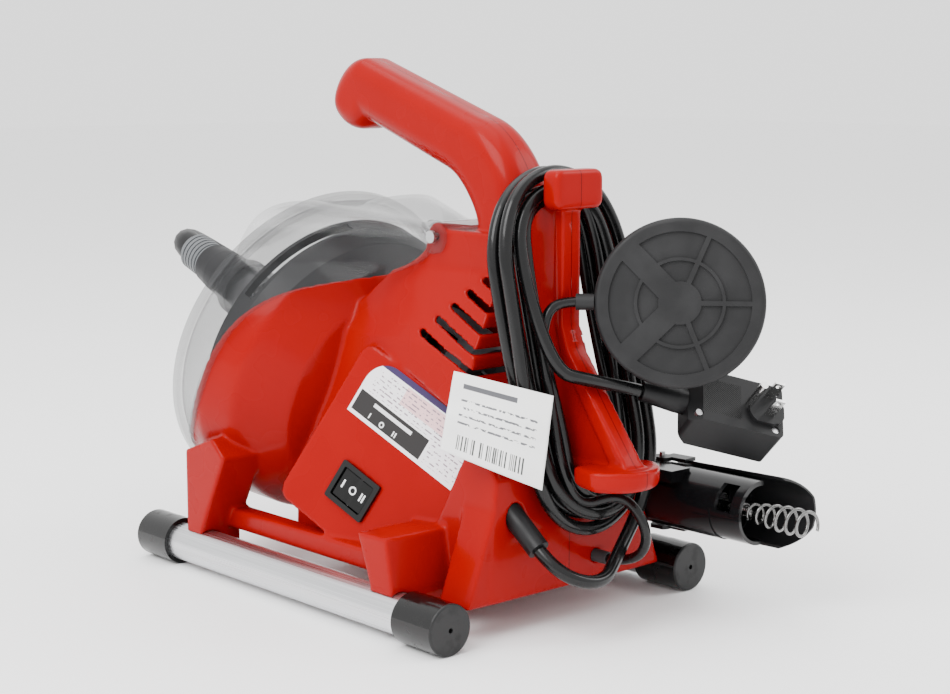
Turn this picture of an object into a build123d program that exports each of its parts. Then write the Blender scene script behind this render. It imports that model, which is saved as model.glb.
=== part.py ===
from build123d import *
import math
import os

# Compact powered drain snake machine.  Millimetres, +Z up, cable outlet towards -Y,
# the switch on the +X side.  The two housing halves meet in the plane x = 0, the
# machine stands on its rail caps at z = 0, and the origin is the centre of its footprint.

# ---------------------------------------------------------------- driving dimensions
CLEAR = 0.3                      # gap between pieces that move past each other

RAIL_X = 105.0                   # half the distance between the rails
RAIL_R = 13.0
RAIL_WALL = 1.6
RAIL_HALF = 159.0                # half the length over the caps
CAP_R = 16.0
CAP_LENGTH = 36.0
CAP_END = 4.0

TILT = 20.0                      # the drum axis rises by this towards the front
RING_Y = -107.0                  # centre of the cover's front ring
RING_Z = 146.0
COVER_R = 117.0
COVER_WALL = 2.6
BOWL_R = 113.0                   # red bowl round the drum
WALL = 3.4                       # housing wall
VENT = 3.4                       # height of an air slot
DRUM_R = 103.0
DRUM_FRONT = 15.0                # drum rim, measured back from the ring plane
DRUM_BACK = 70.0
SHAFT_R = 8.0

POST_REAR = 151.0                # rear face of the cord post
POST_TOP = 281.0

HEAD_X = -90.0                   # feed head axis, parallel to the rails
HEAD_Z = 67.0
HEAD_R = 20.7
HEAD_FRONT = 58.0
HEAD_REAR = 228.0
LEVER_OPEN = 4.0                 # degrees, the squeeze lever at rest
REACH = 266.0                    # nose tip and cable tip both end here

MAINS_D = 8.4
AIR_D = 6.4
AIR_Z = 37.0                     # air tube nipple in the rear panel
HOSE_D = 22.0

PEDAL_R = 53.0
PEDAL_THICK = 22.0

drum = Location((0, RING_Y, RING_Z), (-TILT, 0, 0))     # local y' runs back along the axis
S, C = math.sin(math.radians(TILT)), math.cos(math.radians(TILT))
NODES = {}


def from_drum(x, back, up):
    """A point given along the drum's own axes, in the machine's frame."""
    return (x, RING_Y + back * C + up * S, RING_Z - back * S + up * C)


def block(x0, x1, y0, y1, z0, z1):
    """A box between six limits."""
    size = Box(x1 - x0, y1 - y0, z1 - z0)
    return Pos((x0 + x1) / 2, (y0 + y1) / 2, (z0 + z1) / 2) * size


def rod(start, end, radius, bore=0.0):
    """A round bar or tube from one point to another."""
    a, b = Vector(*start), Vector(*end)
    plane = Plane(origin=a, z_dir=b - a)
    ring = Circle(radius) - Circle(bore) if bore else Circle(radius)
    return extrude(plane * ring, (b - a).length)


def turned(points, axis=Axis.Y):
    """A solid of revolution about the Y axis, from (radius, y) corners."""
    return revolve(make_face(Polyline(*points, close=True)), axis)


def side_plate(points, x0, x1):
    """An outline of (y, z) corners, extruded from x0 to x1."""
    face = Plane.YZ * make_face(Polyline(*points, close=True))
    return Pos(x0, 0, 0) * extrude(face, x1 - x0)


def add(name, *solids):
    """Keep a node; several solids stay separate pieces of one node."""
    kept = []
    for solid in solids:
        kept.extend(solid.solids())
    NODES[name] = kept[0] if len(kept) == 1 else Compound(children=kept)


# ---------------------------------------------------------------- housing
# where the clear cover meets the red bowl, in the drum's own (back, up) axes
PARTING = [(-12, -116), (-6, -69), (9, -43), (20, -12), (27, 24), (35, 51),
           (52, 74), (76, 92), (97, 108), (112, 126)]


def front_region(shift=0.0):
    """Everything in front of the parting line, moved back by shift."""
    line = [(b + shift, u) for b, u in PARTING]
    edge = Spline(*line)
    (b0, u0), (b1, u1) = line[0], line[-1]
    rest = Polyline((b1, u1), (b1, 190), (-240, 190), (-240, -150), (b0, -150), (b0, u0))
    face = make_face(edge + rest)
    return drum * (Pos(-160, 0, 0) * extrude(Plane.YZ * face, 320))


def bowl(inset):
    """Round bowl behind the drum."""
    r = BOWL_R - inset
    back = 92 - inset
    face = make_face(Polyline((0, -30), (r, -30), (r, 24), (r - 8, 52), (r - 34, 80),
                              (r - 62, back), (0, back), close=True))
    rounded = fillet(face.vertices().sort_by(Axis.X)[-3:], 16)
    return drum * revolve(rounded, Axis.Y)


def case(inset):
    """Motor case between the bowl and the rear panel."""
    t = inset
    side = side_plate([(-46 + t, 34 + t), (POST_REAR - t, 22 + t), (POST_REAR - t, 97 - t),
                       (117 - t, 152), (113 - t, 240 - t), (46 + t, 240 - t),
                       (14 + t, 214 - t), (-46 + t, 150)], -100, 100)
    half = [(66 - t, 0), (64 - t, 70), (60 - t, 112), (48 - t, 170), (24 - t, 215), (24 - t, 260)]
    outline = half + [(-x, z) for x, z in reversed(half)]
    front = extrude(Plane.XZ * make_face(Polyline(*outline, close=True)), 400, both=True)
    return (side & front) - panel(-t, -t, 40)


PAD = Plane(origin=(78, 34, 74), x_dir=(-0.18, 0.88, -0.45), z_dir=(0.92, 0.3, 0.25))


def panel(inset, low, high):
    """Upright column on the switch panel's outline, between two heights off its plane."""
    column = Pos(7.5, 25, (low + high) / 2) * Box(113 - 2 * inset, 118 - 2 * inset, high - low)
    return PAD * fillet(column.edges().filter_by(Axis.Z), 9 - inset)


def pad(inset):
    """Slanted panel on the left side, which the switch and its label sit on."""
    return panel(inset, -70, -inset) & block(0, 100, -60 + inset, 130 - inset, 34 + inset, 200)


def skirt(inset):
    """Flared foot round the rear panel."""
    t = inset
    low = Plane.XY.offset(21 + t) * Pos(0, 137) * Rectangle(168 - 2 * t, 27 - 2 * t)
    high = Plane.XY.offset(98 - t) * Pos(0, 137) * Rectangle(112 - 2 * t, 27 - 2 * t)
    return loft([low, high])


def legs():
    """Four saddle legs on the rails."""
    parts = []
    for sign in (1, -1):
        front = side_plate([(-108, 14), (-90, 14), (-90, 30), (-62, 84), (-76, 96), (-108, 84)],
                           80, 112)
        top = 62 if sign > 0 else 42
        rear = side_plate([(92, 14), (114, 14), (114, 30), (108, top), (80, top), (92, 30)],
                          60, 112)
        low = side_plate([(-92, 30), (94, 30), (94, 44), (-84, 44)], 78, 92)
        group = front + rear + low
        parts.append(group if sign > 0 else mirror(group, Plane.YZ))
    return parts[0] + parts[1]


def handle():
    """Grip that rises along the drum axis and turns down into the case."""
    top = Spline((77, 310), (98, 297), (113, 278), (118, 236), tangents=((0.94, -0.34), (0, -1)))
    low = Spline((80, 236), (73, 257), (58, 273), (38, 281.5), tangents=((0, 1), (-0.94, 0.34)))
    nose = Spline((-30, 306), (-44, 300.5), (-66, 315), (-58, 338), (-36, 348))
    outline = (top + Line((118, 236), (80, 236)) + low + Line((38, 281.5), (-30, 306)) + nose
               + Line((-36, 348), (77, 310)))
    solid = Pos(-19, 0, 0) * extrude(Plane.YZ * make_face(outline), 38)
    long_edges = solid.edges().filter_by(lambda e: abs(abs(e.center().X) - 19) < 0.01
                                         and e.center().Z > 240)
    return fillet(long_edges, 13)


def post():
    """Cord post: web, rear flange, T head and the boat-shaped lower horn."""
    web = side_plate([(104, 236), (104, 259), (144, 259), (144, 190), (152, 160), (196, 98),
                      (140, 92), (112, 150)], -5, 5)
    flange = side_plate([(144, 276), (POST_REAR, 276), (POST_REAR, 186), (156, 172),
                         (212, 98), (202, 92), (150, 166), (144, 186)], -8, 8)
    flange = fillet(flange.edges().filter_by(Axis.X), 2)
    head = block(-20, 20, 145, 159, 257, POST_TOP)
    head = fillet(head.edges().filter_by(Axis.Y), 5)
    head = fillet(head.edges().group_by(Axis.Z)[-1], 3)
    horn = Plane.XY.offset(92) * make_face(
        Polyline((-27, 196), (-22, 176), (22, 176), (27, 196))
        + ThreePointArc((27, 196), (0, 216), (-27, 196)))
    horn = fillet(extrude(horn, 13).edges().group_by(Axis.Z)[0], 5)
    neck = block(-7, 7, 140, 180, 97, 104)
    return web + flange + head + horn + neck


def rail_core(radius):
    """Both rails as solid bars, for cutting the saddles."""
    bars = [rod((s * RAIL_X, -RAIL_HALF, CAP_R), (s * RAIL_X, RAIL_HALF, CAP_R), radius)
            for s in (1, -1)]
    return bars[0] + bars[1]


def filled_housing():
    """The housing as one solid without its hollow."""
    shell = (bowl(0) + case(0) + pad(0)) - front_region()
    return shell + skirt(0) + legs() + handle() + post()



BOSS = (53.0, 235.0)             # the cover's pivot screws, (y, z)
SCREW_POSTS = [(60, 52), (132, 84), (102, 224), (24, 200)]      # (y, z)


def housing():
    """Two moulded half shells with their openings, posts and saddles."""
    outer = filled_housing()
    hollow = (bowl(WALL) + case(WALL) + pad(WALL)) - front_region(-30)
    hollow += skirt(WALL)
    shell = outer - hollow
    boss = rod((-24, *BOSS), (24, *BOSS), 9)
    posts = [rod((-70, y, z), (70, y, z), 5.6) for y, z in SCREW_POSTS]
    shell += boss
    for piece in posts:
        shell += piece & outer
    shell -= rail_core(RAIL_R + 0.02)
    shell -= rail_ends()
    for tool in vents() + screw_holes():
        shell -= tool
    shell -= PAD * Box(30.2, 24.2, 20)
    shell -= rod((46.5, 139, 81.8), (44.9, 163, 61.8), 7.02)
    shell -= rod((-24, 145, AIR_Z), (-24, 156, AIR_Z), 4.15)
    left = shell & block(0, 200, -300, 300, -10, 400)
    right = shell & block(-200, 0, -300, 300, -10, 400)
    add("housing_left", main_solid(left))
    add("housing_right", main_solid(right))


def main_solid(shape):
    """The largest solid of a cut shape."""
    return max(shape.solids(), key=lambda s: s.volume)


def rail_ends():
    """Room for the rail caps."""
    ends = None
    for sx in (1, -1):
        for y0 in (-RAIL_HALF, RAIL_HALF - CAP_LENGTH):
            end = rod((sx * RAIL_X, y0 - 1, CAP_R), (sx * RAIL_X, y0 + CAP_LENGTH + 1, CAP_R),
                      CAP_R + 0.3)
            ends = end if ends is None else ends + end
    return ends


def vents():
    """Five slanted air slots on each side, parallel to the drum axis."""
    slots = []
    for i in range(5):
        front, up = 170 - 6 * i, 132 - 11.5 * i
        slot = drum * (Pos(0, (front + 212) / 2, up) * Box(160, 212 - front, VENT))
        slots.append(slot & block(18, 90, 0, 140, 90, 230))
        slots.append(slot & block(-90, -18, 0, 140, 90, 230))
    return slots


def screw_holes():
    """Recessed screw holes in the right half, and the rail screw holes in the legs."""
    tools = [rod((-90, y, z), (-22, y, z), 4.2) for y, z in SCREW_POSTS]
    tools += [rod((-22.5, y, z), (20, y, z), 1.9) for y, z in SCREW_POSTS]
    tools += [rod((sx * RAIL_X, y, 10), (sx * RAIL_X, y, 42), 1.9)
              for sx in (1, -1) for y in (-99, 103)]
    tools.append(rod((-30, *BOSS), (30, *BOSS), 2.1))
    return tools


def housing_screws():
    """Pan-head screws that join the halves, seated in the right half."""
    screws = []
    for y, z in SCREW_POSTS:
        shank = rod((-22, y, z), (16, y, z), 1.9)
        pan = rod((-25, y, z), (-22, y, z), 3.8) - rod((-26, y, z), (-23.4, y, z), 1.2)
        screws.append(shank + pan)
    add("housing_screws", *screws)


def rails():
    """Steel tubes, rubber end caps and the screws up into the legs."""
    caps = []
    for sx, side in ((1, "left"), (-1, "right")):
        x = sx * RAIL_X
        half = RAIL_HALF - CAP_END
        tube = rod((x, -half, CAP_R), (x, half, CAP_R), RAIL_R, RAIL_R - RAIL_WALL)
        for y in (-99, 103):
            tube -= rod((x, y, CAP_R), (x, y, 40), 1.9)
            tube -= rod((x, y, 0), (x, y, CAP_R), 4.0)
        add(f"rail_{side}", tube)
        for sy in (-1, 1):
            cap = rod((x, sy * (RAIL_HALF - CAP_LENGTH), CAP_R), (x, sy * RAIL_HALF, CAP_R), CAP_R)
            cap = fillet(cap.edges().sort_by(Axis.Y)[-1 if sy > 0 else 0], 1.5)
            cap -= rod((x, 0, CAP_R), (x, sy * half, CAP_R), RAIL_R)
            cap -= rod((x, sy * (RAIL_HALF - 2), CAP_R), (x, sy * (RAIL_HALF + 1), CAP_R), 1.6)
            caps.append(cap)
    add("rail_caps", *caps)
    screws = []
    for sx in (1, -1):
        for y in (-99, 103):
            x = sx * RAIL_X
            seat = CAP_R + RAIL_R - RAIL_WALL - 0.7
            screws.append(rod((x, y, seat), (x, y, 40), 1.85)
                          + rod((x, y, seat - 2.6), (x, y, seat), 3.6))
    add("rail_screws", *screws)


# ---------------------------------------------------------------- clear cover and nose
NECK_R = 21.0
NOSE_BACK = -62.0                # neck starts here
NOSE_CUFF = -96.0                # cuff starts here
NOSE_END = -(REACH + RING_Y - 14.5 * S) / C     # front of the ribbed end, in drum axes
CUFF_END = NOSE_END + 25


def cover_form(inset):
    """Domed front, drum side wall and the hood up to the handle."""
    t = inset
    face = make_face(
        Polyline((0, NOSE_CUFF), (NECK_R - t, NOSE_CUFF), (NECK_R - t, NOSE_BACK + t))
        + ThreePointArc((NECK_R - t, NOSE_BACK + t), (74, -28 + t), (COVER_R - 3 - t, 0))
        + Polyline((COVER_R - 3 - t, 0), (BOWL_R + 2.9 - t, 96), (0, 96), (0, NOSE_CUFF)))
    body = drum * revolve(face, Axis.Y)
    front = drum * (Plane.XZ.offset(-8) * hood_face(92, 114.5, 40, t))
    rear = drum * (Plane.XZ.offset(-118) * hood_face(25, 142, 112, t))
    return body + loft([front, rear])


def hood_face(half, top, low, inset):
    """Arched section of the hood: half width, top height, lowest height."""
    h, u = half - inset, top - inset
    shoulder = low + 0.45 * (u - low)
    return make_face(Polyline((-h, shoulder), (-h, low), (h, low), (h, shoulder))
                     + Spline((h, shoulder), (0, u), (-h, shoulder),
                              tangents=((0, 1), (0, -1))))


def cover():
    """Clear polycarbonate drum cover with its rim lip, lug ears and rear tongue."""
    shell = cover_form(0) - cover_form(COVER_WALL)
    lip = drum * turned([(BOWL_R + 0.5, -3), (COVER_R, -3), (COVER_R, 2), (BOWL_R + 0.5, 2)])
    shell = (shell + lip) & front_region(7)
    shell += block(-22, 22, 46, 84, 240.3, 244)
    for sx in (1, -1):
        ear = rod((sx * 24.3, *BOSS), (sx * 27, *BOSS), 11)
        side = block(*sorted((sx * 22, sx * 27)), 42, 60, 236, 244)
        shell += ear + side - block(-24.3, 24.3, 40, 70, 220, 240.3)
        shell -= rod((sx * 20, *BOSS), (sx * 30, *BOSS), 2.2)
    shell -= filled_housing()
    shell -= rod((-24.3, *BOSS), (24.3, *BOSS), 9.3)
    add("drum_cover", main_solid(shell))
    screws = [rod((sx * 12, *BOSS), (sx * 27, *BOSS), 2.1)
              + rod((sx * 27, *BOSS), (sx * 29.5, *BOSS), 4) for sx in (1, -1)]
    add("cover_screws", *screws)


def nose():
    """Outlet tube with its collar in the cover's neck, rubber cuff and ribbed hose end."""
    collar = NECK_R - COVER_WALL
    add("outlet_tube", drum * turned([(6, CUFF_END + 2), (12, CUFF_END + 2), (12, NOSE_CUFF),
                                      (collar, NOSE_CUFF), (collar, NOSE_BACK - 4),
                                      (12, NOSE_BACK - 4), (12, NOSE_BACK + 6),
                                      (6, NOSE_BACK + 6)]))
    cuff = turned([(12, CUFF_END), (15.5, CUFF_END), (17, CUFF_END + 14), (17.5, NOSE_CUFF - 12),
                   (22.5, NOSE_CUFF), (22.5, NOSE_CUFF + 8), (NECK_R, NOSE_CUFF + 8),
                   (NECK_R, NOSE_CUFF), (12, NOSE_CUFF)])
    add("nose_cuff", drum * cuff)
    pitch = 4.0
    ribs = [(HOSE_D / 2 - 2.5, CUFF_END), (14.5, CUFF_END)]
    for i in range(6):
        y = CUFF_END - pitch * i
        ribs += [(14.5, y - 2.6), (12.8, y - 3.0), (12.8, y - 3.8), (14.5, y - 4.0)]
    ribs = ribs[:-2] + [(HOSE_D / 2 - 2.5, NOSE_END)]
    ribs[-2] = (12.8, NOSE_END)
    add("hose_end", drum * turned(ribs))


# ---------------------------------------------------------------- drum, gears and motor
GEAR_BACK = 103.0
GEAR_R = 46.0
GEAR_TEETH = 60
PINION_TEETH = 12
PINION_R = GEAR_R * PINION_TEETH / GEAR_TEETH
MOTOR_UP = GEAR_R + PINION_R + 0.3
MOTOR_R = 30.0


def drum_parts():
    """Drum, its cable, guide cone, shaft and bearings."""
    outer = [(0, DRUM_BACK), (40, DRUM_BACK), (78, 62), (98, 44), (DRUM_R, 30),
             (DRUM_R, DRUM_FRONT), (DRUM_R - 6, DRUM_FRONT)]
    inner = [(DRUM_R - 6, DRUM_FRONT + 3), (DRUM_R - 3, DRUM_FRONT + 3), (DRUM_R - 3, 29),
             (96, 42), (76, 59), (40, DRUM_BACK - 3), (14, DRUM_BACK - 3), (14, 48), (0, 48)]
    shell = turned(outer + inner)
    for i in range(3):
        window = Rot(0, 120 * i + 62, 0) * (Pos(DRUM_R, 22.5, 0) * Box(30, 9, 88))
        shell -= window
    shell -= turned([(0, 40), (SHAFT_R, 40), (SHAFT_R, 80), (0, 80)])
    add("drum_shell", drum * shell)
    coil = turned([(60, 24), (92, 20), (94, 30), (90, 42), (74, 54), (50, 60), (44, 50)])
    add("cable_coil", drum * coil)
    cone = [(SHAFT_R, 46), (30, 44), (58, 18), (60, 8), (34, -18), (13, -30), (11, -52),
            (7, -52), (7, -26), (SHAFT_R, -24)]
    add("guide_cone", drum * turned(cone))
    shaft = turned([(0, -20), (SHAFT_R, -20), (SHAFT_R, 112), (0, 112)])
    add("drum_shaft", drum * shaft)
    bore = SHAFT_R + 0.04
    for name, y0 in (("front_bearing", 74), ("rear_bearing", 88)):
        ring = [(bore, y0), (15, y0), (15, y0 + 7), (bore, y0 + 7)]
        add(name, drum * turned(ring))


def gear(radius, teeth, width, bore, phase=0.0):
    """Straight-tooth gear about the Y axis; thin teeth leave backlash."""
    step = 2 * math.pi / teeth
    corners = []
    for i in range(teeth):
        middle = step * i + phase
        for r, offset in ((radius - 1.1, -0.27), (radius + 0.8, -0.11),
                          (radius + 0.8, 0.11), (radius - 1.1, 0.27)):
            angle = middle + offset * step
            corners.append((r * math.cos(angle), r * math.sin(angle)))
    outline = make_face(Plane.XZ * Polyline(*corners, close=True))
    return extrude(outline, width, dir=(0, 1, 0)) - turned([(0, -1), (bore, -1), (bore, width + 1),
                                                            (0, width + 1)])


def drive():
    """Gear plate, bearing housing, gears, motor and fan."""
    plate = Pos(0, 95.5, 30) * Box(84, 5, 128)
    plate = fillet(plate.edges().filter_by(Axis.Y), 10)
    collar = turned([(15, 73), (21, 73), (21, 97), (15, 97)])
    plate = plate + collar - turned([(0, 60), (15, 60), (15, 99), (0, 99)])
    motor_axis = Pos(0, 0, MOTOR_UP)
    plate -= motor_axis * turned([(0, 60), (9, 60), (9, 120), (0, 120)])
    for x in (-22, 22):
        plate += Pos(x, 0, MOTOR_UP + 14) * turned([(0, 97), (4, 97), (4, 115), (0, 115)])
    add("gear_plate", main_solid(drum * plate & case(WALL + 0.6)))
    wheel = gear(GEAR_R, GEAR_TEETH, 8, SHAFT_R)
    for i in range(5):
        wheel -= Rot(0, 72 * i, 0) * (Pos(27, 4, 0) * Rot(90, 0, 0) * Cylinder(8, 20))
    add("drum_gear", drum * (Pos(0, GEAR_BACK, 0) * wheel))
    pinion = gear(PINION_R, PINION_TEETH, 9, 3.0, math.pi / PINION_TEETH)
    add("motor_pinion", drum * (motor_axis * (Pos(0, GEAR_BACK - 0.5, 0) * pinion)))
    can = turned([(3.4, 115), (26, 115), (MOTOR_R, 118), (MOTOR_R, 170), (26, 174), (3.4, 174),
                  (3.4, 171), (MOTOR_R - 3, 168), (MOTOR_R - 3, 120), (3.4, 118)])
    for i in range(4):
        can -= Rot(0, 90 * i + 45, 0) * (Pos(MOTOR_R, 143, 0) * Box(12, 22, 14))
    add("motor_can", drum * (motor_axis * can))
    core = turned([(0, 100), (3, 100), (3, 122), (21, 122), (21, 160), (10, 160), (10, 167),
                   (3, 167), (3, 186), (0, 186)])
    add("armature", drum * (motor_axis * core))
    fan = turned([(3, 177), (8, 177), (8, 185), (3, 185)])
    for i in range(8):
        fan += Rot(0, 45 * i, 0) * (Pos(14, 181, 0) * Rot(0, 0, 24) * Box(16, 7, 1.6))
    add("motor_fan", drum * (motor_axis * fan))


# ---------------------------------------------------------------- switches and label
LABEL_CORNER = 18.0              # the label's large rounded corner


def switches():
    """Rocker switch in the pad, and the air switch that the pedal works."""
    body = Box(29.8, 23.8, 24) - Pos(0, 0, 2) * Box(26.4, 20.4, 24)
    bezel = Box(33, 27, 2.4) - Box(26.4, 20.4, 8)
    bezel = Pos(0, 0, 1.2) * fillet(bezel.edges().filter_by(Axis.Z), 1.2)
    frame = Pos(0, 0, -12) * body + bezel
    for x in (-8, 0, 8):
        frame += Pos(x, 0, -27.5) * Box(0.8, 6.3, 9)
    frame -= Pos(0, 0, -3) * Rot(90, 0, 0) * Cylinder(1.56, 23.7)
    add("switch_body", PAD * frame)
    rocker = extrude(Plane.XZ * make_face(Polyline(
        (-12.2, 1.0), (-3.4, 1.4), (0, 1.0), (3.4, 1.4), (12.2, 1.0), (11.6, -4), (3, -7.5),
        (-3, -7.5), (-11.6, -4), close=True)), 9.4, both=True)
    rocker = fillet(rocker.edges().filter_by(Axis.Y).sort_by(Axis.Z)[-2:], 0.4)
    rocker -= Pos(0, 0, -3) * Rot(90, 0, 0) * Cylinder(1.6, 40)
    add("switch_rocker", PAD * rocker)
    add("switch_pin", PAD * (Pos(0, 0, -3) * Rot(90, 0, 0) * Cylinder(1.55, 23.6)))
    label = Pos(13, 60.5, 0.32) * Box(96, 41, 0.5)
    corners = label.edges().filter_by(Axis.Z).sort_by(lambda e: e.center().X - e.center().Y)
    add("mode_label", PAD * fillet(corners[0], LABEL_CORNER))
    box = fillet(block(-40, -8, 108, 141, 29, 50).edges().filter_by(Axis.Y), 3)
    add("air_switch", box + rod((-24, 140, AIR_Z), (-24, 162, AIR_Z), 4.1) - rod(
        (-24, 142, AIR_Z), (-24, 164, AIR_Z), 1.6))


# ---------------------------------------------------------------- feed head
def head():
    """Feed head at the hose's far end: body, lever, rollers, spring, clip and cable tip."""
    x, z = HEAD_X, HEAD_Z
    body = rod((x, HEAD_FRONT, z), (x, HEAD_REAR, z), HEAD_R, HEAD_R - 3)
    body += rod((x, HEAD_FRONT, z), (x, HEAD_FRONT + 4, z), HEAD_R - 1, 8)
    body += rod((x, 150, z), (x, 153, z), HEAD_R - 1, 6)
    body -= block(x - 30, x, 169, 201, z - 11, z + 11)
    body -= block(x + 6, x + 30, 208, 221, z + 2, z + 18)
    sleeve = rod((x, 204, z), (x, HEAD_REAR, z), HEAD_R + 1, HEAD_R - 0.7)
    body -= sleeve & block(x - 30, x + 30, 204, HEAD_REAR, z - 30, z + 3)
    body -= block(x - 40, x - 3, HEAD_REAR - 22, HEAD_REAR + 1, z - 30, z + 30)
    body += block(x + 7, x + 24, 140, 176, z + 14, z + HEAD_R + 1)
    body -= rod((x, 146, z - 40), (x, 146, z + 40), 2.0)
    add("head_body", main_solid(body))
    lever()
    rollers()
    add("hose_collar", rod((x, HEAD_FRONT - 14, z), (x, HEAD_FRONT, z), 16)
        + rod((x, HEAD_FRONT, z), (x, HEAD_FRONT + 4, z), 8)
        - rod((x, HEAD_FRONT - 20, z), (x, HEAD_FRONT + 6, z), 4.2))
    cradle = rod((x, 96, z), (x, 114, z), HEAD_R + 3, HEAD_R + 0.02)
    cradle -= block(x - 40, x + 40, 90, 120, z + 8, z + 60)
    arm = block(x + HEAD_R - 2, -58, 96, 114, z - 12, z + 6)
    arm -= rod((x, 90, z), (x, 120, z), HEAD_R + 0.02)
    add("head_clip", main_solid(cradle + arm - filled_housing()))
    cable_end()


def lever():
    """Half-shell squeeze lever, hinged on the upright pin and standing open at rest."""
    x, z = HEAD_X, HEAD_Z
    tip = HEAD_REAR + 22
    form = rod((x, 150, z), (x, tip, z), HEAD_R + 2.6, HEAD_R + 0.8)
    round_end = rod((x - 60, tip - 22, z), (x, tip - 22, z), 24) + block(x - 60, x, 100, tip - 22,
                                                                       z - 40, z + 40)
    form = (form & round_end) - block(x - 4.5, x + 60, 100, 300, z - 40, z + 40)
    for sz in (1, -1):
        z0, z1 = sorted((z + sz * (HEAD_R + 0.8), z + sz * (HEAD_R + 3.2)))
        form += block(x - 12, x + 5, 138, 164, z0, z1) & (
            rod((x, 146, z0), (x, 146, z1), 7) + block(x - 14, x - 1, 146, 164, z0, z1))
    form -= rod((x, 146, z - 40), (x, 146, z + 40), 2.02)
    form += block(x - HEAD_R - 1, x - 12.2, 178, 192, z - 6, z + 6)
    form -= block(x - 18.2, x - 5, 178.9, 191.1, z - 7, z + 7)
    for y in (178, 191):
        form += block(x - 18.2, x - 12.2, y, y + 1, z - 6, z + 6)
    form += rod((x - 8.5, 178.9, z), (x - 8.5, 191.1, z), 1.5)
    add("squeeze_lever", swing(main_solid(form)))


def swing(shape):
    """Turn a shape from the closed pose to the lever's open rest pose."""
    return shape.rotate(Axis((HEAD_X, 146, HEAD_Z), (0, 0, 1)), LEVER_OPEN)


def rollers():
    """Three feed rollers round the cable: two in the body, one on the lever."""
    x, z = HEAD_X, HEAD_Z
    reach = 3.2 + 0.3 + 5
    axles = []
    for i, angle in enumerate((60, -60)):
        a = math.radians(angle)
        cx, cz = x + reach * math.cos(a), z + reach * math.sin(a)
        add(f"feed_roller_{i + 1}", rod((cx, 180, cz), (cx, 190, cz), 5, 1.55))
        axles.append(rod((cx, 176, cz), (cx, 194, cz), 1.5))
    cx = x - reach
    add("feed_roller_3", swing(rod((cx, 180, z), (cx, 190, z), 5, 1.55)))
    pin = rod((x, 146, z - HEAD_R - 4), (x, 146, z + HEAD_R + 6), 1.95)
    add("head_pins", pin, *axles)


def cable_end():
    """Cable out of the head with its bulb-shaped auger tip."""
    x, z = HEAD_X, HEAD_Z
    start = HEAD_REAR + 4
    bar = rod((x, 160, z), (x, start, z), 3.0) + rod((x, start - 3, z), (x, start, z), 7)
    helix = Helix(5.4, REACH - start - 3, 5.8, center=(x, start - 1.5, z), direction=(0, 1, 0))
    wire = sweep(Plane(origin=helix @ 0, z_dir=helix % 0) * Circle(1.3), path=helix, is_frenet=True)
    add("cable_tip", main_solid(bar + wire))


# ---------------------------------------------------------------- pedal and plug
PEDAL_N = Vector(0.738, 0.656, 0.154)
PEDAL = Plane(origin=(-34, 209, 202), x_dir=(0.664, -0.747, 0), z_dir=tuple(PEDAL_N))
PLUG = Plane(origin=(-70.4, 225.1, 139.5), x_dir=(-0.822, 0.503, -0.266),
             z_dir=(0.232, 0.723, 0.651))


def pedal():
    """Air pedal: ribbed base, sprung top, bellows and the tube ferrule."""
    r = PEDAL_R - 1.5
    base = Pos(0, 0, -5) * Cylinder(r, 10)
    base = fillet(base.edges().group_by(Axis.Z)[-1], 3)
    for outer, inner in ((43, 27.5), (25.5, 13)):
        ring = Pos(0, 0, -0.9) * (Cylinder(outer, 2) - Cylinder(inner, 2))
        for angle in (0, 67, -67, 135, -135):
            width = 3 if abs(angle) < 90 else 14
            ring -= Rot(0, 0, 180 + angle) * (Pos(26, 0, -0.9) * Box(52, width, 4))
        base -= ring
    base -= Pos(0, 0, -8.5) * Cylinder(r - 2.5, 5)
    add("pedal_base", PEDAL * base)
    top = Pos(0, 0, -14.2) * Cylinder(r - 3, 8)
    top = fillet(top.edges().group_by(Axis.Z)[0], 3)
    top -= Pos(0, 0, -12.6) * Cylinder(r - 5.5, 5)
    add("pedal_top", PEDAL * top)
    bellows = [(0, -6), (15, -6), (17, -7.4), (15, -8.6), (17, -9.2), (15, -9.9), (0, -9.9)]
    add("pedal_bellows", PEDAL * turned_z(bellows))
    ferrule = Pos(r + 4, 0, -5) * Rot(0, 90, 0) * Cylinder(5, 14)
    add("pedal_ferrule", PEDAL * (ferrule - Pos(0, 0, -5) * Cylinder(r, 10)))


def turned_z(points):
    """A solid of revolution about the Z axis, from (radius, z) corners."""
    return revolve(make_face(Plane.XZ * Polyline(*points, close=True)), Axis.Z)


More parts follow.
